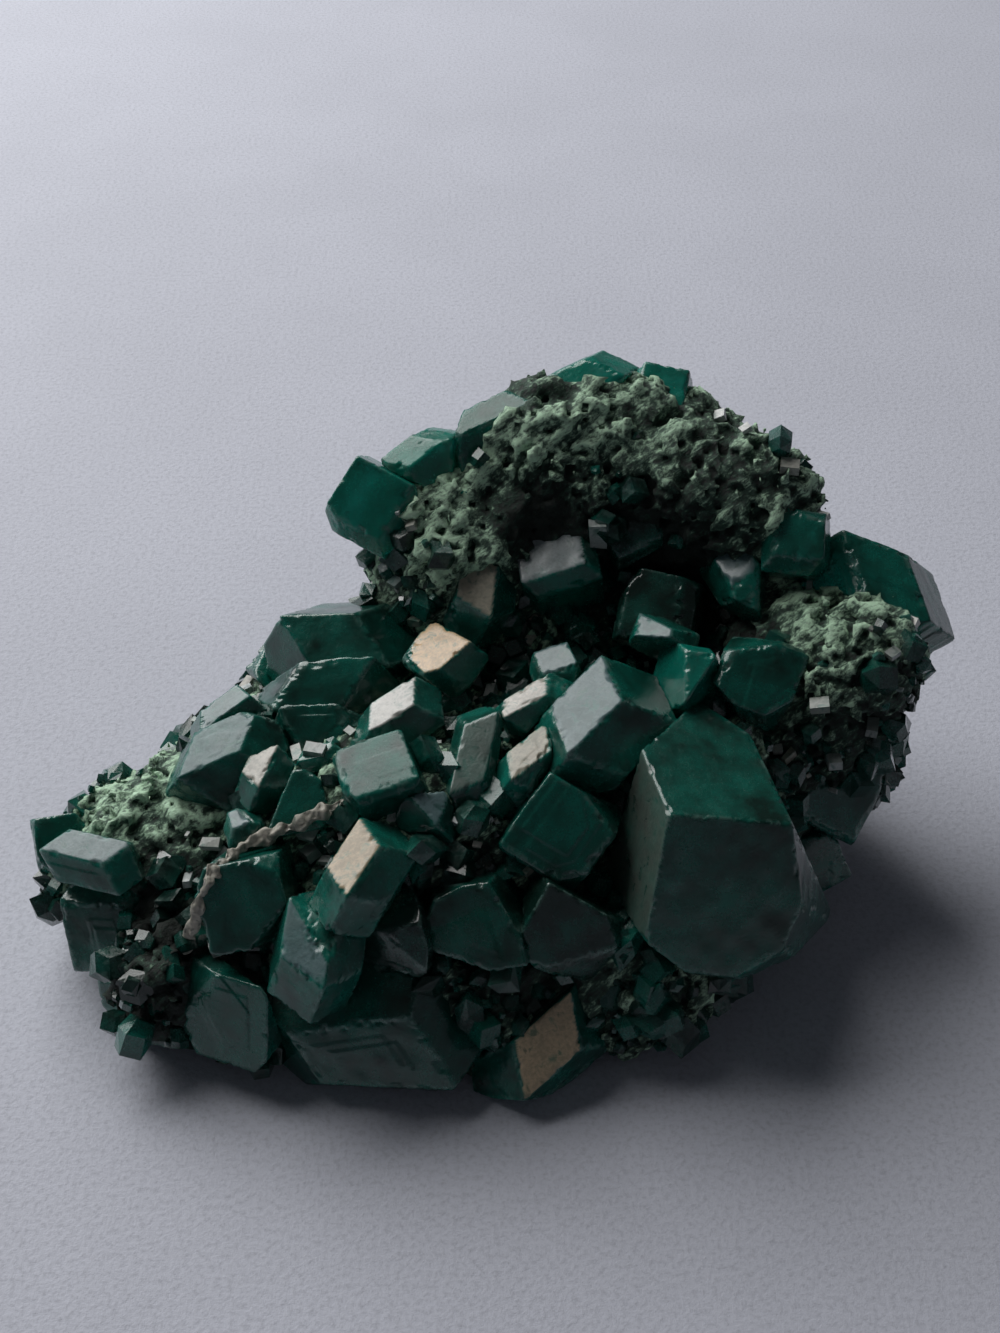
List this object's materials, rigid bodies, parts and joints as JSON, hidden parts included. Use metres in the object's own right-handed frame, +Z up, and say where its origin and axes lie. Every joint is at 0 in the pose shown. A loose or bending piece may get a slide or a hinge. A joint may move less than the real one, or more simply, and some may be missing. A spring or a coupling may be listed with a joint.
{
  "type": "dioptase specimen",
  "caption": "Mineral specimen: a lump of crumbly mottled host rock covered with stubby emerald-green crystals, lying on its flat underside.",
  "frame": {"origin": "the middle of the flat underside, on the surface that the specimen lies on", "axes": "+X along the specimen's length, from the low tail to the high end; +Y away from the side with the best crystals; +Z up"},
  "size_m": [0.0686, 0.0492, 0.0347],
  "materials": {
    "host_rock": "crumbly and matt, mottled pale mint and dark green",
    "dioptase": "glassy, deep emerald green, nearly opaque",
    "tarnished_dioptase": "glassy green under a thin grey bloom",
    "iron_stained_dioptase": "satin, pale beige to gold stain on the faces"
  },
  "bodies": {
    "root": {"back_foot": "dioptase", "back_heel": "dioptase", "back_left": "dioptase", "back_middle": "dioptase", "back_right": "dioptase", "back_shoulder": "dioptase", "behind_block": "dioptase", "big_block": "dioptase", "corner_wing": "tarnished_dioptase", "crown_emerald": "dioptase", "crown_teal": "dioptase", "edge_tile": "iron_stained_dioptase", "edge_wedge": "tarnished_dioptase", "front_foot": "iron_stained_dioptase", "front_keel": "dioptase", "golden_stub": "iron_stained_dioptase", "green_spark": "dioptase", "hollow_back": "dioptase", "hollow_floor": "dioptase", "hollow_pillar": "tarnished_dioptase", "hollow_plate": "tarnished_dioptase", "hollow_right": "tarnished_dioptase", "hood_rim": "dioptase", "hood_teal": "dioptase", "hood_tip": "dioptase", "host_rock": "host_rock", "left_back": "dioptase", "left_cheek": "dioptase", "left_crumb": "tarnished_dioptase", "left_dome": "dioptase", "left_jaw": "dioptase", "left_pane": "tarnished_dioptase", "left_strip": "tarnished_dioptase", "lens_lower": "dioptase", "lens_middle": "dioptase", "lens_upper": "dioptase", "pale_shard": "iron_stained_dioptase", "pink_chip": "iron_stained_dioptase", "right_cheek": "dioptase", "right_flank": "dioptase", "right_heel": "dioptase", "right_prow": "dioptase", "rim_knob": "dioptase", "shelf_chip": "iron_stained_dioptase", "shelf_corner": "tarnished_dioptase", "shelf_knob": "tarnished_dioptase", "shelf_middle": "dioptase", "shelf_post": "tarnished_dioptase", "shelf_ribbon": "iron_stained_dioptase", "shelf_slab": "tarnished_dioptase", "slab_neighbour": "tarnished_dioptase", "tail_block": "dioptase", "tail_foot": "dioptase", "tail_plate": "tarnished_dioptase", "tail_tip": "dioptase", "wall_left": "dioptase", "wall_middle": "dioptase", "wall_right": "dioptase", "white_chip": "iron_stained_dioptase"}
  },
  "joints": []
}
